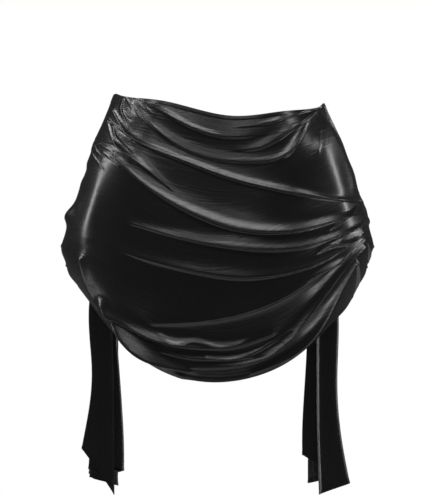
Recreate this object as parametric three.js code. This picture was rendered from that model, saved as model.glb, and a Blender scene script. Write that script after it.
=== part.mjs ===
// An evening stole: one long rectangle of black satin, worn across the back and over two bent arms.
// It keeps the hollow form that it has when worn, with nothing inside it.
// Millimetres, +Z up. It opens towards +Y, so the back of the stole is on the -Y side, and +X is to
// the right. The origin is midway between the two arms, level with the upper edge at the shoulders.
import * as THREE from "three";

// The cloth and its split into stretches
const wall = 1.4;
const stretchGap = 0.3;
const backRows = 52; // steps from the upper long edge to the lower one, on the back
const rowsPerGather = 4; // steps from one turn of a gather to the next, on the arms and tails

// Where one stretch ends and the next begins, in mm of cloth from the middle of the back
const armTurn = 352;
const forearmTurn = 600;

const acrossKnots = [0, 0.25, 0.5, 0.75, 1];

// Sections across the cloth, each a curve from the upper edge to the lower one.
// along is the distance of cloth from the middle of the back, to the right.
const bodySections = [
  {
    name: "left forearm outside",
    along: -412,
    top: [-212, 52, -108],
    high: [-240, 57, -152],
    middle: [-274, 64, -222],
    low: [-290, 90, -274],
    hem: [-272, 126, -312],
  },
  {
    name: "left arm outside",
    along: -334,
    top: [-214, 38, -48],
    high: [-245, 4, -94],
    middle: [-277, -4, -196],
    low: [-299, 14, -290],
    hem: [-273, 66, -360],
  },
  {
    name: "left shoulder",
    along: -286,
    top: [-207, 10, 4],
    high: [-232, -28, -87],
    middle: [-250, -52, -200],
    low: [-272, -29, -303],
    hem: [-255, 27, -379],
  },
  {
    name: "left arm back",
    along: -236,
    top: [-190, -24, 7],
    high: [-200, -68, -92],
    middle: [-222, -78, -205],
    low: [-237, -66, -323],
    hem: [-226, -24, -412],
  },
  {
    name: "left back",
    along: -112,
    top: [-100, -104, -11],
    high: [-102, -119, -130],
    middle: [-110, -128, -252],
    low: [-120, -122, -380],
    hem: [-126, -98, -498],
  },
  {
    name: "middle back",
    along: 0,
    top: [12, -112, -37],
    high: [8, -124, -152],
    middle: [4, -133, -272],
    low: [0, -130, -400],
    hem: [-6, -112, -528],
  },
  {
    name: "right back",
    along: 112,
    top: [112, -103, -29],
    high: [112, -119, -136],
    middle: [112, -127, -244],
    low: [116, -119, -366],
    hem: [120, -96, -494],
  },
  {
    name: "right arm back",
    along: 236,
    top: [188, -20, -12],
    high: [203, -68, -96],
    middle: [222, -72, -196],
    low: [225, -68, -298],
    hem: [214, -20, -418],
  },
  {
    name: "right shoulder",
    along: 286,
    top: [199, 12, -11],
    high: [226, -28, -90],
    middle: [244, -44, -190],
    low: [260, -28, -282],
    hem: [240, 34, -396],
  },
  {
    name: "right arm outside",
    along: 334,
    top: [208, 38, -57],
    high: [236, 6, -99],
    middle: [266, -2, -188],
    low: [284, 17, -278],
    hem: [258, 72, -370],
  },
  {
    name: "right forearm outside",
    along: 412,
    top: [207, 51, -116],
    high: [230, 57, -154],
    middle: [261, 64, -216],
    low: [276, 92, -268],
    hem: [258, 128, -310],
  },
];

// The forearms that the cloth passes over, and the tails that hang from their inner sides.
// near and far are the ends of the gathered cloth, towards the elbow and towards the hand.
const arms = [
  {
    side: -1,
    axisX: 260,
    axisZ: -242,
    radius: 38,
    near: 48,
    far: 166,
    tailX: 219,
    tailNear: 42,
    tailFar: 160,
    endX: 229,
    endNear: 38,
    endFar: 172,
    endZ: -700,
  },
  {
    side: 1,
    axisX: 232,
    axisZ: -242,
    radius: 41,
    near: 48,
    far: 166,
    tailX: 187,
    tailNear: 42,
    tailFar: 160,
    endX: 204,
    endNear: 38,
    endFar: 172,
    endZ: -700,
  },
];

// Distances of cloth from the middle of the back at which the arm sections lie
const alongForearmTop = 466;
const alongForearmInside = 530;
const alongTailUpper = 620;
const alongTailMiddle = 790;
const alongTailEnd = 1000;
const tailDrop = 90; // from the forearm's axis down to the upper section of a tail

// The sections that an arm's sizes give: over the forearm, down its inner side, and along the tail
function armSections(arm) {
  const section = (along, x, z, near, far) => ({
    along: arm.side * along,
    points: acrossKnots.map((share) => [arm.side * x, near + (far - near) * share, z]),
  });
  const upperZ = arm.axisZ - tailDrop;
  const middleX = (arm.tailX + arm.endX) / 2;
  return [
    section(alongForearmTop, arm.axisX, arm.axisZ + arm.radius, arm.near, arm.far),
    section(alongForearmInside, arm.axisX - arm.radius, arm.axisZ, arm.near, arm.far),
    section(alongTailUpper, arm.tailX, upperZ, arm.tailNear, arm.tailFar),
    section(alongTailMiddle, middleX, (upperZ + arm.endZ) / 2, arm.tailNear, arm.tailFar),
    section(alongTailEnd, arm.endX, arm.endZ, arm.endNear, arm.endFar),
  ];
}

// The swag folds of the back. A route is the fold's crest as seen from behind, in x and z, and
// wide and high give its half-width above the crest and how far it stands out, at start, middle and end.
const swagFolds = [
  { name: "cowl", route: [[-165, 2], [-121, -20], [-51, -58], [10, -75], [80, -72]], wide: [6, 16, 20], high: [4, 9, 2] },
  { name: "cowl lip", route: [[30, -58], [101, -46], [149, -28], [182, -18]], wide: [10, 12, 6], high: [1, 4, 4] },
  { name: "right shoulder swag", route: [[10, -102], [66, -97], [125, -62], [160, -38], [186, -18]], wide: [16, 20, 6], high: [1, 10, 4] },
  { name: "second swag", route: [[-165, -12], [-134, -47], [-86, -86], [-28, -112], [45, -121], [110, -112], [150, -66]], wide: [7, 20, 10], high: [5, 10, 4] },
  { name: "long fold", route: [[-203, -22], [-175, -67], [-98, -108], [8, -148], [101, -172], [198, -188], [262, -194]], wide: [6, 17, 8], high: [5, 12, 7] },
  { name: "left arm fold", route: [[-213, -40], [-199, -81], [-158, -117], [-110, -158], [-80, -184]], wide: [6, 11, 10], high: [5, 9, 2] },
  { name: "great swag", route: [[-196, -112], [-146, -157], [-75, -202], [33, -242], [137, -245], [210, -227], [264, -212]], wide: [8, 24, 9], high: [5, 17, 8] },
  { name: "waist swag", route: [[-163, -237], [-86, -258], [33, -277], [154, -275], [220, -254], [268, -236]], wide: [10, 18, 8], high: [2, 10, 7] },
  { name: "elbow swag", route: [[-239, -264], [-155, -296], [-51, -321], [31, -332], [110, -326], [198, -298], [266, -250]], wide: [12, 26, 8], high: [3, 7, 6] },
  { name: "low belly", route: [[-120, -420], [-39, -414], [55, -393], [140, -354], [212, -305], [266, -262]], wide: [20, 30, 8], high: [3, 9, 6] },
  { name: "lower crest", route: [[-262, -300], [-239, -370], [-194, -407], [-146, -434], [-60, -458], [33, -457], [90, -440]], wide: [14, 14, 12], high: [6, 13, 3] },
  { name: "hem fold", route: [[-226, -398], [-194, -423], [-146, -465], [-98, -494], [-60, -506]], wide: [7, 10, 9], high: [5, 9, 3] },
  { name: "under swag", route: [[-170, -440], [-98, -474], [-5, -484], [78, -474], [137, -436]], wide: [7, 9, 8], high: [2, 7, 3] },
  { name: "long right fold", route: [[-54, -500], [43, -494], [101, -463], [173, -404], [235, -341], [270, -280]], wide: [9, 12, 7], high: [3, 11, 8] },
  { name: "hem right fold", route: [[60, -510], [126, -480], [173, -436], [212, -374], [256, -306]], wide: [8, 11, 7], high: [3, 9, 6] },
];

// How a swag fold is shaped below its crest: a short steep flank, and a crest that hangs over it
const flankBelow = 0.6;
const overhang = 0.45;
const crispness = 2.4; // how sharply a valley between two folds is creased
const swagFade = { from: 330, to: 420 }; // where the folds of the back die out along the cloth

// The gathers that run over the forearms and down the tails. Each row is a turn of the cloth:
// its place from the upper edge to the lower one, how far it lies towards the middle from the tail's
// own plane, and how much higher or lower than the tail's end the cloth ends there.
const gatherTurns = [
  [
    { across: 0, depth: 25, end: -54 },
    { across: 0.085, depth: -38, end: 30 },
    { across: 0.18, depth: 39, end: -10 },
    { across: 0.275, depth: -29, end: -12 },
    { across: 0.355, depth: 24, end: -40 },
    { across: 0.455, depth: -33, end: -30 },
    { across: 0.545, depth: 30, end: -46 },
    { across: 0.63, depth: -22, end: -36 },
    { across: 0.715, depth: 33, end: -20 },
    { across: 0.81, depth: -32, end: -30 },
    { across: 0.905, depth: 26, end: -44 },
    { across: 1, depth: -16, end: -34 },
  ],
  [
    { across: 0, depth: 16, end: -54 },
    { across: 0.085, depth: -43, end: -38 },
    { across: 0.18, depth: 44, end: 22 },
    { across: 0.28, depth: -33, end: -28 },
    { across: 0.365, depth: 28, end: -16 },
    { across: 0.46, depth: -37, end: -26 },
    { across: 0.55, depth: 24, end: -38 },
    { across: 0.635, depth: -41, end: -30 },
    { across: 0.73, depth: 30, end: -44 },
    { across: 0.82, depth: -30, end: -20 },
    { across: 0.91, depth: 28, end: -34 },
    { across: 1, depth: -14, end: -28 },
  ],
];

// How much of that depth the gathers have along the cloth, and how far they lift it off the arm
const gatherShares = [
  { along: 300, share: 0, lift: 0 },
  { along: 352, share: 0.06, lift: 1 },
  { along: 412, share: 0.14, lift: 3 },
  { along: 466, share: 0.2, lift: 6 },
  { along: 530, share: 0.28, lift: 6 },
  { along: 580, share: 0.5, lift: 4 },
  { along: 640, share: 0.68, lift: 0 },
  { along: 790, share: 0.76, lift: 0 },
  { along: 1000, share: 0.95, lift: 0 },
];
const gatherRound = 0.8; // how full the turns are, from 0 to 1
const gatherSway = 0.12; // how much a gather's depth varies along the cloth

// A natural cubic spline through values at rising knots, as a function of the place along them
function splineThrough(knots, values) {
  const last = knots.length - 1;
  const bend = new Array(last + 1).fill(0);
  const rest = new Array(last + 1).fill(0);
  for (let i = 1; i < last; i++) {
    const before = knots[i] - knots[i - 1];
    const after = knots[i + 1] - knots[i];
    const share = before / (before + after);
    const pivot = share * bend[i - 1] + 2;
    const turn = (values[i + 1] - values[i]) / after - (values[i] - values[i - 1]) / before;
    bend[i] = (share - 1) / pivot;
    rest[i] = ((6 * turn) / (before + after) - share * rest[i - 1]) / pivot;
  }
  bend[last] = 0;
  for (let i = last - 1; i >= 0; i--) bend[i] = bend[i] * bend[i + 1] + rest[i];
  return (place) => {
    let i = 1;
    while (i < last && place > knots[i]) i++;
    const span = knots[i] - knots[i - 1];
    const a = (knots[i] - place) / span;
    const b = 1 - a;
    const curve = ((a ** 3 - a) * bend[i - 1] + (b ** 3 - b) * bend[i]) * (span * span) / 6;
    return a * values[i - 1] + b * values[i] + curve;
  };
}

const clamp = (value, low, high) => Math.min(Math.max(value, low), high);

function smoothStep(from, to, value) {
  const share = clamp((value - from) / (to - from), 0, 1);
  return share * share * (3 - 2 * share);
}

// The smooth cloth with no folds in it
const sections = [
  ...armSections(arms[0]).reverse(),
  ...bodySections.map((row) => ({
    along: row.along,
    points: [row.top, row.high, row.middle, row.low, row.hem],
  })),
  ...armSections(arms[1]),
];
const sectionKnots = sections.map((section) => section.along);
const guides = acrossKnots.map((_, level) =>
  [0, 1, 2].map((axis) =>
    splineThrough(sectionKnots, sections.map((section) => section.points[level][axis])),
  ),
);

function smoothCloth(along, across) {
  const axes = [0, 1, 2].map((axis) =>
    splineThrough(acrossKnots, guides.map((guide) => guide[axis](along)))(across),
  );
  return new THREE.Vector3(...axes);
}

// The direction down the cloth, from the upper edge to the lower one
function downwards(surface, along, across) {
  const step = 0.004;
  return surface(along, across + step).sub(surface(along, across - step)).normalize();
}

// The direction out of the cloth, away from the hollow inside it
function outwards(surface, along, across) {
  const step = 2;
  const ahead = surface(along + step, across).sub(surface(along - step, across));
  return downwards(surface, along, across).cross(ahead).normalize();
}

// A fold's crest as closely spaced points, with the direction it runs in at each
function tracedRoute(route) {
  const steps = 90;
  const knots = [0];
  for (let i = 1; i < route.length; i++) {
    knots.push(knots[i - 1] + Math.hypot(route[i][0] - route[i - 1][0], route[i][1] - route[i - 1][1]));
  }
  const length = knots[knots.length - 1];
  const axes = [0, 1].map((axis) => splineThrough(knots, route.map((point) => point[axis])));
  const at = (i) => axes.map((axis) => axis((length * i) / steps));
  return Array.from({ length: steps + 1 }, (_, i) => {
    const [x, z] = at(i);
    const [aheadX, aheadZ] = at(Math.min(i + 1, steps));
    const [behindX, behindZ] = at(Math.max(i - 1, 0));
    const span = Math.hypot(aheadX - behindX, aheadZ - behindZ);
    return { x, z, runX: (aheadX - behindX) / span, runZ: (aheadZ - behindZ) / span, step: length / steps };
  });
}

const tracedFolds = swagFolds.map((fold) => ({ ...fold, trace: tracedRoute(fold.route) }));

// A value given at the start, middle and end of a fold, at a place along it from 0 to 1
const alongFold = ([start, middle, end], place) =>
  place < 0.5
    ? start + (middle - start) * smoothStep(0, 0.5, place)
    : middle + (end - middle) * smoothStep(0.5, 1, place);

// How far one fold stands out at a point seen from behind
function foldHeight(fold, x, z) {
  const last = fold.trace.length - 1;
  let nearest = 0;
  let least = Infinity;
  fold.trace.forEach((point, i) => {
    const distance = (point.x - x) ** 2 + (point.z - z) ** 2;
    if (distance < least) {
      least = distance;
      nearest = i;
    }
  });
  const here = fold.trace[nearest];
  const above = (z - here.z) * here.runX - (x - here.x) * here.runZ;
  const past = (x - here.x) * here.runX + (z - here.z) * here.runZ;
  const place = clamp((nearest + past / here.step) / last, 0, 1);
  const beyond = (nearest === 0 && past < 0) || (nearest === last && past > 0) ? past : 0;
  const wide = alongFold(fold.wide, place);
  const flank = above > 0 ? wide : wide * flankBelow;
  return alongFold(fold.high, place) * Math.exp(-((above / flank) ** 2) - (beyond / wide) ** 2);
}

function swagHeight(x, z) {
  const total = tracedFolds.reduce((sum, fold) => sum + foldHeight(fold, x, z) ** crispness, 0);
  return total ** (1 / crispness);
}

const shareKnots = gatherShares.map((row) => row.along);
const gatherShareAt = splineThrough(shareKnots, gatherShares.map((row) => row.share));
const gatherLiftAt = splineThrough(shareKnots, gatherShares.map((row) => row.lift));

// Where the gathers of one side have the cloth, at a place across it
function gatherAt(turns, across) {
  const i = Math.max(1, turns.findIndex((turn) => turn.across >= across - 1e-9));
  const [from, to] = across > 1 ? turns.slice(-2) : [turns[i - 1], turns[i]];
  const span = to.across - from.across;
  const angle = (Math.PI * (across - from.across)) / span;
  const share = (1 - Math.cos(angle)) / 2;
  return {
    depth: from.depth + (to.depth - from.depth) * share,
    end: from.end + (to.end - from.end) * share,
    roll: (gatherRound / 2) * Math.sin(2 * angle) * (span / Math.PI),
  };
}

// The cloth with its folds and gathers
function foldedCloth(along, across) {
  const point = smoothCloth(along, across);
  const out = outwards(smoothCloth, along, across);
  const far = Math.abs(along);
  const swag = swagHeight(point.x, point.z) * (1 - smoothStep(swagFade.from, swagFade.to, far));
  const folded = point.addScaledVector(out, swag);
  folded.z -= overhang * swag;
  if (far <= shareKnots[0]) return folded;
  const side = along < 0 ? 0 : 1;
  const gather = gatherAt(gatherTurns[side], across);
  const share = gatherShareAt(far);
  const sway = 1 + gatherSway * Math.sin(far / 80 + 11 * across);
  folded.addScaledVector(out, share * sway * gather.depth + gatherLiftAt(far));
  const roll = share * gather.roll * (arms[side].tailFar - arms[side].tailNear);
  folded.addScaledVector(downwards(smoothCloth, along, across), roll);
  folded.z += smoothStep(alongTailUpper, alongTailEnd, far) * gather.end;
  return folded;
}

// The places across the cloth at which its wall has points
function rowPlaces(turns) {
  if (!turns) return Array.from({ length: backRows + 1 }, (_, j) => j / backRows);
  const places = [0];
  for (let i = 1; i < turns.length; i++) {
    const step = (turns[i].across - turns[i - 1].across) / rowsPerGather;
    for (let j = 1; j <= rowsPerGather; j++) places.push(turns[i - 1].across + step * j);
  }
  return places;
}

// A closed wall of even thickness round a grid of points
function wallGeometry({ from, to, columns, turns }) {
  const places = rowPlaces(turns);
  const rows = places.length - 1;
  const outer = [];
  const inner = [];
  for (let i = 0; i <= columns; i++) {
    const along = from + ((to - from) * i) / columns;
    for (const across of places) {
      const point = foldedCloth(along, across);
      const out = outwards(foldedCloth, along, across).multiplyScalar(wall / 2);
      outer.push(point.clone().add(out));
      inner.push(point.sub(out));
    }
  }
  const points = [...outer, ...inner];
  const index = [];
  const at = (i, j, side) => side * outer.length + i * (rows + 1) + j;
  const face = (a, b, c, d) => {
    const acrossFirst = points[a].distanceToSquared(points[c]) < points[b].distanceToSquared(points[d]);
    if (acrossFirst) index.push(a, b, c, a, c, d);
    else index.push(a, b, d, b, c, d);
  };
  for (let i = 0; i < columns; i++) {
    for (let j = 0; j < rows; j++) {
      face(at(i, j, 0), at(i, j + 1, 0), at(i + 1, j + 1, 0), at(i + 1, j, 0));
      face(at(i, j, 1), at(i + 1, j, 1), at(i + 1, j + 1, 1), at(i, j + 1, 1));
    }
    face(at(i, 0, 0), at(i + 1, 0, 0), at(i + 1, 0, 1), at(i, 0, 1));
    face(at(i, rows, 0), at(i, rows, 1), at(i + 1, rows, 1), at(i + 1, rows, 0));
  }
  for (let j = 0; j < rows; j++) {
    face(at(0, j, 0), at(0, j, 1), at(0, j + 1, 1), at(0, j + 1, 0));
    face(at(columns, j, 0), at(columns, j + 1, 0), at(columns, j + 1, 1), at(columns, j, 1));
  }
  const geometry = new THREE.BufferGeometry().setFromPoints(points);
  geometry.setIndex(index);
  geometry.computeVertexNormals();
  return geometry;
}

const satin = new THREE.MeshStandardMaterial({ color: 0x17171a, roughness: 0.34, metalness: 0 });

const half = stretchGap / 2;
const [leftTurns, rightTurns] = gatherTurns;
const stretches = [
  { name: "left_tail", from: -alongTailEnd, to: -forearmTurn - half, columns: 6, turns: leftTurns },
  { name: "left_arm_wrap", from: -forearmTurn + half, to: -armTurn - half, columns: 11, turns: leftTurns },
  { name: "back_drape", from: -armTurn + half, to: armTurn - half, columns: 32 },
  { name: "right_arm_wrap", from: armTurn + half, to: forearmTurn - half, columns: 11, turns: rightTurns },
  { name: "right_tail", from: forearmTurn + half, to: alongTailEnd, columns: 6, turns: rightTurns },
];

const stole = new THREE.Group();
for (const stretch of stretches) {
  const mesh = new THREE.Mesh(wallGeometry(stretch), satin.clone());
  mesh.name = stretch.name;
  stole.add(mesh);
}

export default stole;
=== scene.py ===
import math

import bpy
import numpy as np
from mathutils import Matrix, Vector


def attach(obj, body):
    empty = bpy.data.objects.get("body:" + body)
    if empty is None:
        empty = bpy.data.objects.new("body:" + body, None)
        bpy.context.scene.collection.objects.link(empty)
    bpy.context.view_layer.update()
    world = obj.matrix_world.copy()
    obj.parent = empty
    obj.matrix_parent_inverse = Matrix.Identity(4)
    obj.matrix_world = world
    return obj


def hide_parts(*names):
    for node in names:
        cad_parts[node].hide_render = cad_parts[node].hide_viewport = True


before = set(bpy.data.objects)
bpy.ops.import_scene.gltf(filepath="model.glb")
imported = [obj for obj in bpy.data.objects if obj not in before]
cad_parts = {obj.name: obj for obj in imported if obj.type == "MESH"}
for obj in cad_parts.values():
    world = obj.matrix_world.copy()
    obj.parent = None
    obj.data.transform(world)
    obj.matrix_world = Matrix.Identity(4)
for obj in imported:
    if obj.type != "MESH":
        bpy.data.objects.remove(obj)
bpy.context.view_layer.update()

# Millimetres until a mesh is made. x runs to the right, z up, and the back of the stole is at -y.
# along is cloth from the middle of the back, across is the share of the way from the upper edge to the hem.
stole = {
    "width": 600,  # the cut, across
    "thickness": 0.7,
    "hemWide": 9,
    "hemThick": 1.7,
    "hemFade": (-1.5, 1),  # where its extra thickness starts and stops falling, from its width
    "armTurn": 352,  # where the back ends and the arms begin, along the cloth
    "tailEnd": 1000,
}

# Sections across the cloth: along, then upper edge, a quarter, half, three quarters and hem
sections = [
    (-412, (-212, 52, -108), (-240, 57, -152), (-274, 64, -222), (-290, 90, -274), (-272, 126, -312)),
    (-334, (-214, 38, -48), (-245, 4, -94), (-277, -4, -196), (-299, 14, -290), (-273, 66, -360)),
    (-286, (-207, 10, 4), (-232, -28, -87), (-250, -52, -200), (-272, -29, -303), (-255, 27, -379)),
    (-236, (-190, -24, 7), (-200, -68, -92), (-222, -78, -205), (-237, -66, -323), (-226, -24, -412)),
    (-112, (-100, -104, -11), (-102, -119, -130), (-110, -128, -252), (-120, -122, -380), (-126, -98, -498)),
    (0, (12, -112, -37), (8, -124, -152), (4, -133, -272), (0, -130, -400), (-6, -112, -528)),
    (112, (112, -103, -29), (112, -119, -136), (112, -127, -244), (116, -119, -366), (120, -96, -494)),
    (236, (188, -20, -12), (203, -68, -96), (222, -72, -196), (225, -68, -298), (214, -20, -418)),
    (286, (199, 12, -11), (226, -28, -90), (244, -44, -190), (260, -28, -282), (240, 34, -396)),
    (334, (208, 38, -57), (236, 6, -99), (266, -2, -188), (284, 17, -278), (258, 72, -370)),
    (412, (207, 51, -116), (230, 57, -154), (261, 64, -216), (276, 92, -268), (258, 128, -310)),
]
levels = [0, 0.25, 0.5, 0.75, 1]

# The path over each arm and down its tail. near and far are the ends of the gathered width.
armPaths = {
    -1: {"axisX": 260, "radius": 38, "tailX": 219, "endX": 229},
    1: {"axisX": 232, "radius": 41, "tailX": 187, "endX": 204},
}
armSizes = {
    "axisZ": -242,
    "near": 48,
    "far": 166,
    "tailNear": 42,
    "tailFar": 160,
    "endNear": 38,
    "endFar": 172,
    "endZ": -700,
    "tailDrop": 90,
    "alongTop": 466,
    "alongInside": 530,
    "alongUpper": 620,
    "alongMiddle": 790,
}

# The folds of the back, each along its crest as seen from behind (x, z), with its half-width above
# the crest and its height, at start, middle and end.
swags = {
    "cowl": ([(-165, 2), (-121, -20), (-51, -58), (10, -75), (80, -72)], (6, 12, 16), (4, 8, 2)),
    "cowlLip": ([(30, -58), (101, -46), (149, -28), (182, -18)], (10, 12, 6), (1, 4, 4)),
    "rightShoulder": ([(10, -102), (66, -97), (125, -62), (160, -38), (186, -18)], (16, 20, 6), (1, 10, 4)),
    "second": (
        [(-165, -12), (-134, -47), (-86, -86), (-28, -112), (45, -121), (110, -112), (150, -66)],
        (7, 18, 10),
        (4, 7.5, 4),
    ),
    "longFold": (
        [(-203, -22), (-175, -67), (-98, -108), (8, -148), (101, -172), (198, -188), (262, -194)],
        (6, 14, 8),
        (5, 10, 7),
    ),
    "leftArm": ([(-213, -40), (-199, -81), (-158, -117), (-110, -158), (-80, -184)], (6, 11, 10), (5, 9, 2)),
    "great": (
        [(-196, -112), (-146, -157), (-75, -202), (33, -242), (137, -245), (210, -227), (264, -212)],
        (8, 24, 9),
        (5, 17, 8),
    ),
    "waist": (
        [(-163, -237), (-86, -258), (33, -277), (154, -275), (220, -254), (268, -236)],
        (10, 18, 8),
        (3, 12, 8),
    ),
    "elbow": (
        [(-239, -264), (-155, -296), (-51, -321), (31, -332), (110, -326), (198, -298), (266, -250)],
        (16, 22, 8),
        (1, 9, 7),
    ),
    "lowBelly": (
        [(-120, -420), (-39, -414), (55, -393), (140, -354), (212, -305), (266, -262)],
        (20, 30, 8),
        (3, 9, 6),
    ),
    "lowerCrest": (
        [(-262, -300), (-239, -370), (-194, -407), (-146, -434), (-60, -458), (33, -457), (90, -440)],
        (13, 13, 12),
        (7, 16, 4),
    ),
    "hemFold": (
        [(-226, -398), (-194, -423), (-146, -465), (-98, -494), (-60, -506)],
        (8, 24, 12),
        (6, 20, 6),
    ),
    "underSwag": ([(-170, -440), (-98, -474), (-5, -484), (78, -474), (137, -436)], (7, 9, 8), (2, 7, 3)),
    "longRight": (
        [(-54, -500), (43, -492), (95, -471), (141, -424), (184, -369), (230, -313), (268, -276)],
        (9, 11, 6),
        (4, 17, 10),
    ),
    "hemRight": ([(60, -510), (126, -480), (173, -436), (212, -374), (256, -306)], (8, 11, 7), (4, 14, 8)),
}
# share is how much of its height a swag keeps, below its lower flank's width as a share of the upper
# one's, overhang how far it sags over, and crisp how little two swags melt together. Between the two
# places along the cloth they fade out.
swagShape = {"share": 0.7, "below": 0.3, "overhang": 0.5, "crisp": 2.4, "fadeFrom": 330, "fadeTo": 420}
# The profile of a fold, in half-widths: the round of its crest, how far it takes to fall, and its
# reach. fadeFrom is the share of the reach at which it starts to fade to nothing.
foldShape = {"round": 0.3, "fall": 0.45, "reach": 3.2, "fadeFrom": 0.5}
creaseShape = {"round": 0.7, "below": 0.7}
ridgeShape = {"round": 1.1}

# Small creases, each along its crest in millimetres of cloth (along, across), with its half-width
# and its height at start, middle and end. A negative height is a trough.
creases = {
    "shoulderA": ([(-212, 2), (-200, 17), (-180, 47)], (3.8, 5, 3.8), (1.3, 2.3, 0.7)),
    "shoulderB": ([(-166, 12), (-154, 25), (-141, 35)], (3.8, 3.8, 3.8), (0.7, 1.2, 0.3)),
    "shoulderC": ([(-220, 7), (-226, 40), (-214, 63), (-200, 90)], (3.8, 6.2, 3.8), (1.3, 2.9, 0.7)),
    "shoulderD": ([(-214, 49), (-204, 58), (-190, 67)], (3.8, 3.8, 2.5), (1.3, 1.6, 0.7)),
    "shoulderE": ([(-246, 92), (-216, 101), (-185, 124)], (3.8, 5, 3.8), (1.3, 2.3, 0.7)),
    "shoulderF": (
        [(-276, 76), (-245, 95), (-237, 115), (-214, 135), (-186, 151)],
        (3.8, 5, 3.8),
        (1.3, 2.3, 0.7),
    ),
    "shoulderG": ([(-325, 127), (-310, 165), (-277, 191), (-254, 210)], (3.8, 5, 3.8), (1.3, 2.3, 0.7)),
    "shoulderH": ([(-317, 118), (-295, 156), (-257, 184)], (3.8, 5, 3.8), (0.7, 2, 0.7)),
    "shoulderI": ([(-287, 146), (-250, 139), (-217, 148), (-184, 173)], (3.8, 6.2, 3.8), (1.3, 2.6, 0.7)),
    "shoulderJ": ([(-280, 152), (-256, 156), (-227, 168)], (3.8, 4.4, 3.1), (1.3, 2, 0.7)),
    "shoulderK": ([(-262, 169), (-242, 178), (-214, 194)], (3.8, 5, 3.8), (1.3, 2, 0.7)),
    "rightSmall": ([(214, 84), (205, 120), (194, 165)], (6, 9, 7), (0.5, 2, 0.5)),
    "rightSecond": ([(174, 44), (163, 61), (144, 93), (125, 114), (96, 132)], (4, 9, 10), (1.5, 4.5, 0.6)),
    "elbowLeaf": ([(294, 414), (261, 417), (234, 411), (206, 400), (184, 398)], (4, 7, 7), (3, 6, 2)),
    "elbowThin": ([(300, 380), (268, 384), (242, 390), (222, 401)], (2.5, 3, 3), (3, 3, 1)),
    "elbowCrest": ([(305, 427), (252, 447), (212, 450), (178, 446), (140, 443)], (3, 6, 8), (4, 5.5, 0.6)),
    "elbowOuter": ([(284, 486), (303, 524), (314, 560), (316, 595)], (4, 5, 4), (3, 4, 1)),
    "elbowEdge": ([(318, 440), (338, 470), (358, 500)], (3, 5, 4), (2, 4, 2)),
    "elbowUpper": ([(296, 326), (262, 340), (228, 352), (196, 360)], (4, 6, 6), (3, 4, 0.6)),
    "hemLeaf": ([(150, 538), (130, 543), (112, 547)], (4, 5, 4), (1, 3, 0.6)),
    "hemRipple": ([(-98, 517), (-77, 521), (-43, 511), (-1, 518), (41, 516)], (6, 7, 8), (1.5, 3.2, 2)),
    "lowLine": ([(-20, 544), (30, 548), (80, 540), (120, 530)], (4, 5, 4), (1, 3, 1)),
}

# Broad soft ridges and hollows, mostly where the cloth turns over each arm, given in the same way
ridges = {
    "left": ([(-262, 208), (-271, 289), (-279, 363), (-259, 421), (-241, 480)], (22, 28, 26), (1, 2.2, 2)),
    "right": ([(212, 10), (256, 89), (281, 147), (300, 198), (312, 262)], (10, 22, 16), (1.5, 4, 3)),
    "leftBulge": ([(-322, 306), (-350, 326), (-378, 336)], (13, 19, 13), (2, 9, 3)),
    "leftDip": ([(-318, 200), (-336, 220), (-354, 236)], (14, 22, 14), (-1, -6, -1)),
    "top": ([(-130, 34), (-40, 32), (50, 36), (150, 26)], (26, 36, 20), (1.5, 4, 2)),
    "leaf": (
        [(-214, 524), (-190, 548), (-160, 564), (-130, 574), (-95, 584), (-60, 592)],
        (10, 14, 10),
        (6, 9, 4),
    ),
}

# The gathers over each arm and down its tail: across, how deep towards the middle, and how much
# higher or lower the end of the cloth is there
gatherTurns = {
    -1: [
        (0, 25, -54),
        (0.085, -38, 30),
        (0.18, 39, -10),
        (0.275, -29, -12),
        (0.355, 24, -40),
        (0.455, -33, -30),
        (0.545, 30, -46),
        (0.63, -22, -36),
        (0.715, 33, -20),
        (0.81, -32, -30),
        (0.905, 26, -44),
        (1, -16, -34),
    ],
    1: [
        (0, 16, -54),
        (0.085, -43, -38),
        (0.18, 44, 22),
        (0.28, -33, -28),
        (0.365, 28, -16),
        (0.46, -37, -26),
        (0.55, 24, -38),
        (0.635, -41, -30),
        (0.73, 30, -44),
        (0.82, -30, -20),
        (0.91, 28, -34),
        (1, -14, -28),
    ],
}
# Along the cloth: how much of its depth a gather has there, and how far it lifts the cloth
gatherShares = [
    (300, 0, 0),
    (352, 0.06, 1),
    (412, 0.14, 3),
    (466, 0.2, 6),
    (530, 0.28, 6),
    (580, 0.5, 4),
    (640, 0.68, 0),
    (790, 0.76, 0),
    (1000, 0.95, 0),
]
gatherShape = {"round": 0.8, "sway": 0.12, "swayLength": 80, "swayTurn": 11}

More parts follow.
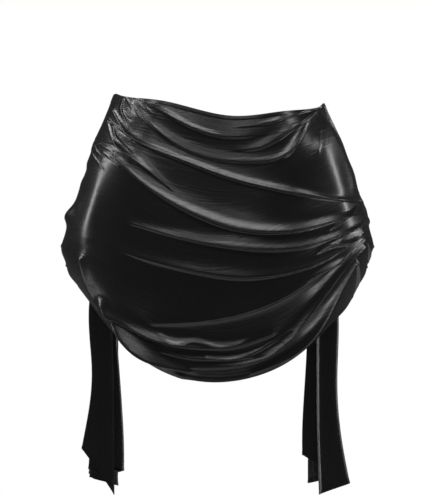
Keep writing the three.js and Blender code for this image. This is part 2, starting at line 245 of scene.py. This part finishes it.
# Small creases of the arms and tails, along the cloth and across it in millimetres, with half-width
# and height. The outer side of an arm shows up to about 470 and the tails start at about 560.
armCreases = {
    -1: {
        "outerA": ([(352, 60), (400, 52), (450, 46), (500, 40)], (6, 7, 5), (2, 3, 1)),
        "outerB": ([(340, 150), (390, 138), (440, 120), (490, 100)], (8, 9, 6), (1, 3, 1)),
        "outerC": ([(360, 236), (410, 226), (460, 205), (510, 190)], (7, 8, 5), (1.5, 3.5, 1)),
        "outerD": ([(360, 330), (400, 330), (450, 322), (500, 312)], (6, 8, 5), (2, 3.5, 1)),
        "outerE": ([(345, 420), (395, 424), (445, 420), (495, 410)], (6, 7, 5), (1.5, 3, 1)),
        "outerF": ([(352, 500), (400, 506), (450, 505), (500, 498)], (5, 6, 5), (2, 3.5, 1)),
        "tailA": ([(560, 90), (640, 84), (740, 96), (860, 100)], (5, 7, 6), (0.5, 2.4, 0.5)),
        "tailB": ([(620, 30), (720, 24), (820, 32), (930, 26)], (5, 6, 6), (0.5, 2, 1)),
        "tailC": ([(580, 240), (680, 250), (800, 246), (960, 252)], (5, 7, 6), (0.5, 2.4, 1)),
        "tailD": ([(640, 410), (740, 404), (860, 400), (980, 408)], (5, 7, 6), (0.5, 2.2, 1)),
        "tailE": ([(560, 512), (660, 520), (760, 516), (860, 520)], (5, 7, 6), (0.5, 2.2, 0.5)),
    },
    1: {
        "outerA": ([(352, 66), (400, 58), (450, 50), (500, 44)], (6, 7, 5), (1, 3, 1)),
        "outerB": ([(345, 180), (395, 170), (445, 150), (500, 130)], (8, 9, 6), (1, 2.6, 1)),
        "outerC": ([(352, 270), (405, 262), (455, 246), (505, 232)], (6, 8, 5), (2, 3.5, 1)),
        "outerD": ([(340, 356), (395, 352), (450, 340), (500, 330)], (6, 8, 5), (2.5, 3.5, 1)),
        "outerE": ([(345, 440), (395, 438), (445, 430), (500, 424)], (6, 7, 5), (2, 3, 1)),
        "outerF": ([(352, 515), (400, 518), (450, 514), (500, 508)], (5, 6, 5), (2, 3, 1)),
        "tailA": ([(560, 92), (640, 88), (740, 98), (860, 96)], (5, 7, 6), (0.5, 2.4, 0.5)),
        "tailB": ([(620, 26), (720, 30), (820, 24), (930, 28)], (5, 6, 6), (0.5, 2, 1)),
        "tailC": ([(580, 252), (680, 244), (800, 250), (960, 246)], (5, 7, 6), (0.5, 2.4, 1)),
        "tailD": ([(640, 402), (740, 410), (860, 406), (980, 400)], (5, 7, 6), (0.5, 2.2, 1)),
        "tailE": ([(560, 520), (660, 512), (760, 518), (860, 512)], (5, 7, 6), (0.5, 2.2, 0.5)),
    },
}


def splineThrough(knots, values):
    # a natural cubic spline, as a function of an array of places
    knots = np.asarray(knots, float)
    values = np.asarray(values, float)
    last = len(knots) - 1
    spans = np.diff(knots)
    matrix = np.eye(last + 1)
    bends = np.zeros(values.shape)
    for i in range(1, last):
        matrix[i, i - 1 : i + 2] = spans[i - 1], 2 * (spans[i - 1] + spans[i]), spans[i]
        bends[i] = 6 * ((values[i + 1] - values[i]) / spans[i] - (values[i] - values[i - 1]) / spans[i - 1])
    bends = np.linalg.solve(matrix, bends.reshape(last + 1, -1)).reshape(values.shape)

    def at(places):
        i = np.clip(np.searchsorted(knots, places), 1, last)
        shape = (len(places),) + (1,) * (values.ndim - 1)
        span = spans[i - 1].reshape(shape)
        before = (knots[i] - places).reshape(shape) / span
        after = 1 - before
        curve = (before**3 - before) * bends[i - 1] + (after**3 - after) * bends[i]
        return before * values[i - 1] + after * values[i] + curve * span**2 / 6

    return at


def smoothStep(low, high, value):
    share = np.clip((value - low) / (high - low), 0, 1)
    return share * share * (3 - 2 * share)


def unit(vectors):
    return vectors / np.linalg.norm(vectors, axis=-1, keepdims=True)


def armRows(side):
    path = armPaths[side]
    upperZ = armSizes["axisZ"] - armSizes["tailDrop"]
    near, far = armSizes["near"], armSizes["far"]
    tailNear, tailFar = armSizes["tailNear"], armSizes["tailFar"]
    rows = [
        (armSizes["alongTop"], path["axisX"], armSizes["axisZ"] + path["radius"], near, far),
        (armSizes["alongInside"], path["axisX"] - path["radius"], armSizes["axisZ"], near, far),
        (armSizes["alongUpper"], path["tailX"], upperZ, tailNear, tailFar),
        (
            armSizes["alongMiddle"],
            (path["tailX"] + path["endX"]) / 2,
            (upperZ + armSizes["endZ"]) / 2,
            tailNear,
            tailFar,
        ),
        (stole["tailEnd"], path["endX"], armSizes["endZ"], armSizes["endNear"], armSizes["endFar"]),
    ]
    return [
        (side * along, [(side * x, start + (end - start) * level, z) for level in levels])
        for along, x, z, start, end in rows
    ]


guides = armRows(-1)[::-1] + [(row[0], row[1:]) for row in sections] + armRows(1)
guideSpline = splineThrough([along for along, _ in guides], [points for _, points in guides])
shareSpline = splineThrough([row[0] for row in gatherShares], [row[1:] for row in gatherShares])


def smoothCloth(along, across):
    lines = guideSpline(along).transpose(1, 0, 2)
    return splineThrough(levels, lines)(across).transpose(1, 0, 2)


def facing(points):
    # out of the cloth, and down it from the upper edge
    down = np.gradient(points, axis=1)
    return unit(np.cross(down, np.gradient(points, axis=0))), unit(down)


def alongFold(sizes, place):
    start, middle, end = sizes
    first = start + (middle - start) * smoothStep(0, 0.5, place)
    return np.where(place < 0.5, first, middle + (end - middle) * smoothStep(0.5, 1, place))


def foldHeight(fold, a, b, below=1.0, round=foldShape["round"], steps=160):
    # how far one fold stands out where the cloth is at a, b, the two numbers that its route is given in
    route, wide, high = fold
    route = np.array(route, float)
    knots = np.concatenate([[0], np.cumsum(np.linalg.norm(np.diff(route, axis=0), axis=1))])
    trace = splineThrough(knots, route)(np.linspace(0, knots[-1], steps + 1))
    runs = unit(np.gradient(trace, axis=0))
    reach = foldShape["reach"] * max(wide)
    inside = (a > trace[:, 0].min() - reach) & (a < trace[:, 0].max() + reach)
    inside &= (b > trace[:, 1].min() - reach) & (b < trace[:, 1].max() + reach)
    spots = np.stack([a[inside], b[inside]], 1)
    height = np.zeros(a.shape)
    if not len(spots):
        return height
    gap = (spots[:, :1] - trace[:, 0]) ** 2 + (spots[:, 1:] - trace[:, 1]) ** 2
    nearest = gap.argmin(1)
    off = spots - trace[nearest]
    run = runs[nearest]
    above = off[:, 1] * run[:, 0] - off[:, 0] * run[:, 1]
    past = (off * run).sum(1)
    beyond = np.where(nearest == 0, np.minimum(past, 0), np.where(nearest == steps, np.maximum(past, 0), 0))
    place = np.clip((nearest + past / (knots[-1] / steps)) / steps, 0, 1)
    half = alongFold(wide, place)
    flank = np.where(above > 0, half, half * below)
    # a crest with a small round, flanks that run out slowly, and nothing past its reach
    away = np.hypot(np.hypot(above / flank, beyond / half), round)
    ridge = np.exp((round - away) / foldShape["fall"])
    ridge *= 1 - smoothStep(foldShape["fadeFrom"], 1, away / foldShape["reach"])
    height[inside] = alongFold(high, place) * ridge
    return height


def gatherAt(side, across):
    turns = np.array(gatherTurns[side], float)
    i = np.clip(np.searchsorted(turns[:, 0], across), 1, len(turns) - 1)
    span = turns[i, 0] - turns[i - 1, 0]
    angle = np.pi * (across - turns[i - 1, 0]) / span
    share = (1 - np.cos(angle)) / 2
    depth = turns[i - 1, 1] + (turns[i, 1] - turns[i - 1, 1]) * share
    end = turns[i - 1, 2] + (turns[i, 2] - turns[i - 1, 2]) * share
    roll = gatherShape["round"] / 2 * np.sin(2 * angle) * span / np.pi
    return depth, end, roll


def foldedCloth(along, across):
    # the middle of the cloth at every along and across, with its folds, in millimetres
    points = smoothCloth(along, across)
    out, down = facing(points)
    far = np.abs(along)[:, None] + 0 * across[None]
    x, z = points[..., 0], points[..., 2]
    total = np.zeros(x.shape)
    for fold in swags.values():
        total += foldHeight(fold, x, z, swagShape["below"]) ** swagShape["crisp"]
    back = 1 - smoothStep(swagShape["fadeFrom"], swagShape["fadeTo"], far)
    swag = swagShape["share"] * back * total ** (1 / swagShape["crisp"])
    width = stole["width"] * across[None] + 0 * far
    for crease in creases.values():
        swag += foldHeight(crease, along[:, None] + 0 * width, width, **creaseShape)
    for ridge in ridges.values():
        swag += foldHeight(ridge, along[:, None] + 0 * width, width, **ridgeShape)
    for side in (-1, 1):
        on = np.sign(along) == side
        if not on.any():
            continue
        for crease in armCreases[side].values():
            swag[on] += foldHeight(crease, far[on], width[on])
    folded = points + out * swag[..., None]
    folded[..., 2] -= swagShape["overhang"] * swag * back
    shares = np.where(far[:, :1] < gatherShares[0][0], 0, shareSpline(np.abs(along)))
    hanging = smoothStep(armSizes["alongUpper"], stole["tailEnd"], far)
    for side in (-1, 1):
        on = np.sign(along) == side
        if not on.any():
            continue
        depth, end, roll = gatherAt(side, across)
        share, lift = shares[on, :1], shares[on, 1:]
        turn = far[on] / gatherShape["swayLength"] + gatherShape["swayTurn"] * across[None]
        sway = 1 + gatherShape["sway"] * np.sin(turn)
        folded[on] += out[on] * (share * sway * depth[None] + lift)[..., None]
        tailWidth = armSizes["tailFar"] - armSizes["tailNear"]
        folded[on] += down[on] * (share * roll[None] * tailWidth)[..., None]
        folded[on, :, 2] += hanging[on] * end[None]
    return folded


def addMesh(name, points, faces, uv=None, normals=None):
    mesh = bpy.data.meshes.new(name)
    mesh.from_pydata(points.tolist(), [], faces.tolist())
    mesh.polygons.foreach_set("use_smooth", np.ones(len(mesh.polygons), bool))
    if uv is not None:
        corners = np.zeros(len(mesh.loops), np.int32)
        mesh.loops.foreach_get("vertex_index", corners)
        layer = mesh.uv_layers.new(name="cloth")
        layer.data.foreach_set("uv", uv[corners].astype(np.float32).ravel())
    if normals is not None:
        mesh.normals_split_custom_set_from_vertices(normals.tolist())
    piece = bpy.data.objects.new(name, mesh)
    bpy.context.scene.collection.objects.link(piece)
    return piece


# How finely the cloth is divided: rows across it, and columns up to a place along it and beyond.
# The columns are closer where the creases fan out from the shoulder and the elbow.
finely = {
    "backRows": 400,
    "backClose": 200,
    "backColumns": (40, 72),
    "armRows": 250,
    "armClose": 620,
    "armColumns": (110, 80),
}


def columnsFrom(start, middle, last, counts):
    first = np.linspace(start, middle, counts[0] + 1)[:-1]
    return np.concatenate([first, np.linspace(middle, last, counts[1] + 1)])


def clothPiece(name, along, across):
    # a closed thin shell of the cloth, thicker where the hem is turned. One more row on every side
    # gives the edges their true facing, and is cropped.
    step = along[1] - along[0], along[-1] - along[-2]
    margin = 0.001
    alongWide = np.concatenate([[along[0] - step[0]], along, [along[-1] + step[1]]])
    acrossWide = np.concatenate([[-margin], across, [1 + margin]])
    middle = foldedCloth(alongWide, acrossWide)
    out = facing(middle)[0]
    fromEdge = np.minimum(acrossWide, 1 - acrossWide)[None] * stole["width"] + 0 * alongWide[:, None]
    fromEnd = stole["tailEnd"] - np.abs(alongWide)[:, None]
    thin, plain = stole["hemFade"]
    hem = 1 - smoothStep(stole["hemWide"] + thin, stole["hemWide"] + plain, np.minimum(fromEdge, fromEnd))
    thick = stole["thickness"] + (stole["hemThick"] - stole["thickness"]) * hem
    outer = middle + out * thick[..., None] / 2
    inner = middle - out * thick[..., None] / 2
    outerNormal = facing(outer)[0]
    innerNormal = -facing(inner)[0]
    crop = (slice(1, -1), slice(1, -1))
    outer, inner, outerNormal, innerNormal = outer[crop], inner[crop], outerNormal[crop], innerNormal[crop]
    n, m = outer.shape[:2]
    uv = np.stack(np.broadcast_arrays(along[:, None], stole["width"] * across[None]), -1) / 1000
    index = np.arange(n * m).reshape(n, m)

    def quads(a, b, c, d):
        return np.stack([a, b, c, d], -1).reshape(-1, 4)

    other = index + n * m
    faces = [
        quads(index[:-1, :-1], index[:-1, 1:], index[1:, 1:], index[1:, :-1]),
        quads(other[:-1, :-1], other[1:, :-1], other[1:, 1:], other[:-1, 1:]),
        quads(index[:-1, 0], index[1:, 0], other[1:, 0], other[:-1, 0]),
        quads(index[:-1, -1], other[:-1, -1], other[1:, -1], index[1:, -1]),
        quads(index[0, :-1], other[0, :-1], other[0, 1:], index[0, 1:]),
        quads(index[-1, :-1], index[-1, 1:], other[-1, 1:], other[-1, :-1]),
    ]
    points = np.concatenate([outer.reshape(-1, 3), inner.reshape(-1, 3)]) / 1000
    normals = np.concatenate([outerNormal.reshape(-1, 3), innerNormal.reshape(-1, 3)])
    piece = addMesh(name, points, np.concatenate(faces), np.concatenate([uv.reshape(-1, 2)] * 2), normals)
    print(name, len(piece.data.polygons) * 2, "triangles")
    return piece


class Wire:
    # a shader socket that can be used in sums
    def __init__(self, tree, socket):
        self.tree = tree
        self.socket = socket

    def node(self, kind, settings, values, out=0):
        made = self.tree.nodes.new(kind)
        for name, setting in settings.items():
            setattr(made, name, setting)
        for name, value in values.items():
            if isinstance(value, Wire):
                self.tree.links.new(value.socket, made.inputs[name])
            else:
                made.inputs[name].default_value = value
        return Wire(self.tree, made.outputs[out])

    def sum(self, operation, first, second):
        return self.node("ShaderNodeMath", {"operation": operation}, {0: first, 1: second})

    def __add__(self, other):
        return self.sum("ADD", self, other)

    def __radd__(self, other):
        return self.sum("ADD", other, self)

    def __mul__(self, other):
        return self.sum("MULTIPLY", self, other)

    def __rmul__(self, other):
        return self.sum("MULTIPLY", other, self)


satinFinish = {
    "black": (0.006, 0.006, 0.0064, 1),
    "roughness": 0.25,
    "roughShift": 0.05,  # taken off first, because the streaks and patches add to it
    "roughStreaks": 0.08,
    "roughPatches": 0.04,
    "specular": 0.6,
    "sheen": 0.03,
    "sheenRoughness": 0.4,
    "threads": 1400,  # to the metre across the cloth
    "threadsToStreak": 6,
    "streaksAlong": 12.0,  # to the metre along the cloth
    "streakDetail": 4.0,
    "patchScale": (9.0, 22.0, 1.0),
    "patchDetail": 2.0,
    "weave": 0.65,  # how high the streaks stand
    "bump": 0.5,
}


def clothNoise(start, uv, scale, detail):
    stretched = start.node("ShaderNodeMapping", {}, {"Vector": uv, "Scale": scale})
    return start.node("ShaderNodeTexNoise", {}, {"Vector": stretched, "Scale": 1.0, "Detail": detail})


def makeSatin():
    material = bpy.data.materials.new("blackSatin")
    material.use_nodes = True
    tree = material.node_tree
    shader = tree.nodes["Principled BSDF"]
    start = Wire(tree, None)
    uv = start.node("ShaderNodeUVMap", {"uv_map": "cloth"}, {})
    # long fine streaks, as the yarns lie, and slow patches where the cloth catches more light
    yarns = (satinFinish["streaksAlong"], satinFinish["threads"] / satinFinish["threadsToStreak"], 1.0)
    streaks = clothNoise(start, uv, yarns, satinFinish["streakDetail"])
    patches = clothNoise(start, uv, satinFinish["patchScale"], satinFinish["patchDetail"])
    rough = satinFinish["roughness"] - satinFinish["roughShift"]
    rough = rough + satinFinish["roughStreaks"] * streaks + satinFinish["roughPatches"] * patches
    tree.links.new(rough.socket, shader.inputs["Roughness"])
    raised = {"Strength": satinFinish["bump"], "Distance": satinFinish["weave"] / 1000, "Height": streaks}
    bump = start.node("ShaderNodeBump", {}, raised)
    tree.links.new(bump.socket, shader.inputs["Normal"])
    shader.inputs["Base Color"].default_value = satinFinish["black"]
    shader.inputs["Specular IOR Level"].default_value = satinFinish["specular"]
    shader.inputs["Sheen Weight"].default_value = satinFinish["sheen"]
    shader.inputs["Sheen Roughness"].default_value = satinFinish["sheenRoughness"]
    return material


# Hem stitches, in millimetres
stitching = {
    "line": 7.5,  # in from the edge
    "pitch": 3.4,
    "length": 2.6,
    "uneven": (0.85, 1.1),  # least and most share of the length
    "thick": 0.4,
    "proud": 0.05,
    "endPoints": 361,  # in the line across the cloth's end
    "seed": 7,
}


def stitchNodes():
    tree = bpy.data.node_groups.new("hemStitching", "GeometryNodeTree")
    kinds = {
        "Path": "NodeSocketGeometry",
        "Pitch": "NodeSocketFloat",
        "Length": "NodeSocketFloat",
        "Thickness": "NodeSocketFloat",
        "Seed": "NodeSocketInt",
        "Thread": "NodeSocketMaterial",
    }
    for name, kind in kinds.items():
        tree.interface.new_socket(name, in_out="INPUT", socket_type=kind)
    tree.interface.new_socket("Stitches", in_out="OUTPUT", socket_type="NodeSocketGeometry")
    given = tree.nodes.new("NodeGroupInput")
    start = Wire(tree, None)
    path, pitch, length, thickness, seed, thread = [Wire(tree, given.outputs[name]) for name in kinds]
    curve = start.node("GeometryNodeMeshToCurve", {}, {"Mesh": path})
    spaced = start.node("GeometryNodeResampleCurve", {"mode": "LENGTH"}, {"Curve": curve, "Length": pitch})
    run = start.node("GeometryNodeInputTangent", {}, {})
    out = start.node("GeometryNodeInputNamedAttribute", {"data_type": "FLOAT_VECTOR"}, {"Name": "out"})
    turned = start.node("FunctionNodeAlignRotationToVector", {"axis": "X"}, {"Vector": run})
    laid = start.node(
        "FunctionNodeAlignRotationToVector",
        {"axis": "Z", "pivot_axis": "X"},
        {"Rotation": turned, "Vector": out},
    )
    least, most = stitching["uneven"]
    limits = {2: least, 3: most, "Seed": seed}
    uneven = start.node("FunctionNodeRandomValue", {"data_type": "FLOAT"}, limits, out=1)
    size = start.node("ShaderNodeCombineXYZ", {}, {0: length * uneven, 1: thickness, 2: thickness})
    bead = start.node("GeometryNodeMeshIcoSphere", {}, {"Radius": 0.5, "Subdivisions": 1})
    placed = start.node(
        "GeometryNodeInstanceOnPoints",
        {},
        {"Points": spaced, "Instance": bead, "Rotation": laid, "Scale": size},
    )
    real = start.node("GeometryNodeRealizeInstances", {}, {"Geometry": placed})
    done = start.node("GeometryNodeSetMaterial", {}, {"Geometry": real, "Material": thread})
    result = tree.nodes.new("NodeGroupOutput")
    tree.links.new(done.socket, result.inputs["Stitches"])
    return tree


def hemStitches(name, along, nodes, thread):
    # a row of stitches along both edges and both faces of one piece, and across the cloth's end
    edge = stitching["line"] / stole["width"]
    beside = 0.002  # share of the width, on each side of the line, that its facing is taken from
    level = np.array([edge - beside, edge, edge + beside])
    last = stole["tailEnd"] - stitching["line"]
    inside = along[np.abs(along) < last]
    rows = [foldedCloth(inside, level), foldedCloth(inside, 1 - level[::-1])]
    chains = [(row[:, 1], facing(row)[0][:, 1]) for row in rows]
    if np.abs(along).max() > last:
        side = np.sign(along[0] + along[-1])
        endLevels = np.linspace(edge, 1 - edge, stitching["endPoints"])
        row = foldedCloth(side * last + np.array([-1, 0, 1]), endLevels)
        chains.append((row[1], facing(row)[0][1]))
    points, outs, edges, count = [], [], [], 0
    for line, out in chains:
        for face in (-1, 1):
            points.append(line + face * out * (stole["hemThick"] / 2 + stitching["proud"]))
            outs.append(face * out)
            edges += [(count + i, count + i + 1) for i in range(len(line) - 1)]
            count += len(line)
    mesh = bpy.data.meshes.new(name)
    mesh.from_pydata((np.concatenate(points) / 1000).tolist(), edges, [])
    layer = mesh.attributes.new("out", "FLOAT_VECTOR", "POINT")
    layer.data.foreach_set("vector", np.concatenate(outs).astype(np.float32).ravel())
    piece = bpy.data.objects.new(name, mesh)
    bpy.context.scene.collection.objects.link(piece)
    modifier = piece.modifiers.new("stitching", "NODES")
    modifier.node_group = nodes
    values = {
        "Pitch": stitching["pitch"] / 1000,
        "Length": stitching["length"] / 1000,
        "Thickness": stitching["thick"] / 1000,
        "Seed": stitching["seed"],
        "Thread": thread,
    }
    for socket in nodes.interface.items_tree:
        if socket.name in values:
            modifier[socket.identifier] = values[socket.name]
    made = bpy.data.meshes.new_from_object(piece.evaluated_get(bpy.context.evaluated_depsgraph_get()))
    piece.modifiers.remove(modifier)
    piece.data = made
    made.polygons.foreach_set("use_smooth", np.ones(len(made.polygons), bool))
    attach(piece, "root")
    print(name, len(made.polygons), "triangles")
    return piece


def makePlain(name, color, roughness):
    material = bpy.data.materials.new(name)
    material.use_nodes = True
    shader = material.node_tree.nodes["Principled BSDF"]
    shader.inputs["Base Color"].default_value = color
    shader.inputs["Roughness"].default_value = roughness
    return material


# Metres
studio = {
    "distance": 3.4,
    "pixel": 0.0019,  # metres to a pixel at the stole's own distance
    "imageHeight": 495,
    "centreX": -0.00665,
    "centreZ": -0.28025,
    "floor": -1.3,
    "floorHalf": 1.8,
    "floorColor": (0.8, 0.8, 0.8, 1),
    "floorRoughness": 0.8,
    "glow": 0.06,  # how much light the white all round gives
    "aim": (0, 0, -0.25),
}

# Soft lights: place, width and height in metres, and power in watts
lamps = {
    "key": ((0, -1.9, 2.4), (3.0, 0.4), 38),
    "leftStrip": ((-3.1, 0.1, 0.64), (0.5, 1.6), 23),
    "rightStrip": ((3.2, 0.45, 0.6), (0.3, 1.6), 20),
    "leftHigh": ((-2.1, 0.37, 1.87), (0.5, 0.5), 11),
    "leftLow": ((-1.87, 0.26, -0.9), (0.25, 0.45), 0.8),
    "frontLeft": ((-0.86, -2.36, 1.38), (2.2, 0.3), 8),
    "rightLow": ((2.85, -0.8, -0.65), (0.4, 0.4), 5),
    "underRight": ((2.2, -1.27, -0.8), (0.3, 0.3), 4),
    "keyLeft": ((-2.17, -1.15, 1.96), (0.6, 0.6), 8),
    "keyRight": ((2.17, -1.15, 1.96), (0.6, 0.6), 8),
    "front": ((0.5, 3.0, 1.5), (2.0, 1.5), 60),
}


def addArea(name, place, size, power):
    light = bpy.data.lights.new(name, "AREA")
    light.shape = "RECTANGLE"
    light.size, light.size_y = size
    light.energy = power
    lamp = bpy.data.objects.new(name, light)
    lamp.location = place
    lamp.rotation_euler = (Vector(studio["aim"]) - Vector(place)).to_track_quat("-Z", "Y").to_euler()
    bpy.context.scene.collection.objects.link(lamp)


def makeStudio():
    camera = bpy.data.cameras.new("camera")
    camera.sensor_width = 36
    camera.lens = camera.sensor_width * studio["distance"] / (studio["imageHeight"] * studio["pixel"])
    view = bpy.data.objects.new("camera", camera)
    view.location = (studio["centreX"], -studio["distance"], studio["centreZ"])
    view.rotation_euler = (math.pi / 2, 0, 0)
    bpy.context.scene.collection.objects.link(view)
    bpy.context.scene.camera = view
    for name, (place, size, power) in lamps.items():
        addArea(name, place, size, power)
    low, half = studio["floor"], studio["floorHalf"]
    corners = np.array([(-half, -half, low), (half, -half, low), (half, half, low), (-half, half, low)])
    floor = addMesh("floor", corners, np.array([[0, 1, 2, 3]]))
    floor.data.materials.append(makePlain("paleFloor", studio["floorColor"], studio["floorRoughness"]))
    world = bpy.data.worlds.new("world")
    bpy.context.scene.world = world
    world.use_nodes = True
    tree = world.node_tree
    tree.nodes.clear()
    start = Wire(tree, None)
    # white to the camera, and faint to the cloth
    seen = start.node("ShaderNodeLightPath", {}, {})
    soft = start.node("ShaderNodeBackground", {}, {"Color": (1, 1, 1, 1), "Strength": studio["glow"]})
    white = start.node("ShaderNodeBackground", {}, {"Color": (1, 1, 1, 1), "Strength": 1.0})
    both = start.node("ShaderNodeMixShader", {}, {0: seen, 1: soft, 2: white})
    output = tree.nodes.new("ShaderNodeOutputWorld")
    tree.links.new(both.socket, output.inputs["Surface"])
    bpy.context.scene.view_settings.view_transform = "Standard"


makeStudio()
print("studio made")

satin = makeSatin()
turn, end = stole["armTurn"], stole["tailEnd"]
backAlong = columnsFrom(0, finely["backClose"], turn, finely["backColumns"])
armAlong = columnsFrom(turn, finely["armClose"], end, finely["armColumns"])
backAcross = np.linspace(0, 1, finely["backRows"] + 1)
armAcross = np.linspace(0, 1, finely["armRows"] + 1)
leftBack = clothPiece("leftBackCloth", -backAlong[::-1], backAcross)
rightBack = clothPiece("rightBackCloth", backAlong, backAcross)
leftArm = clothPiece("leftArmCloth", -armAlong[::-1], armAcross)
rightArm = clothPiece("rightArmCloth", armAlong, armAcross)
for piece in (leftBack, rightBack, leftArm, rightArm):
    piece.data.materials.append(satin)
    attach(piece, "root")
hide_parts("back_drape")
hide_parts("back_drape")
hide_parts("left_arm_wrap", "left_tail")
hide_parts("right_arm_wrap", "right_tail")
thread = makePlain("blackThread", (0.008, 0.008, 0.009, 1), 0.55)
nodes = stitchNodes()
stitchRows = {
    "leftBackStitches": (leftBack, -backAlong[::-1], turn, "draped"),
    "rightBackStitches": (rightBack, backAlong, turn, "draped"),
    "leftArmStitches": (leftArm, -armAlong[::-1], end - turn, "hung"),
    "rightArmStitches": (rightArm, armAlong, end - turn, "hung"),
}
for name, (cloth, along, length, held) in stitchRows.items():
    stitches = hemStitches(name, along, nodes, thread)
    length / 1000

print("stole made")
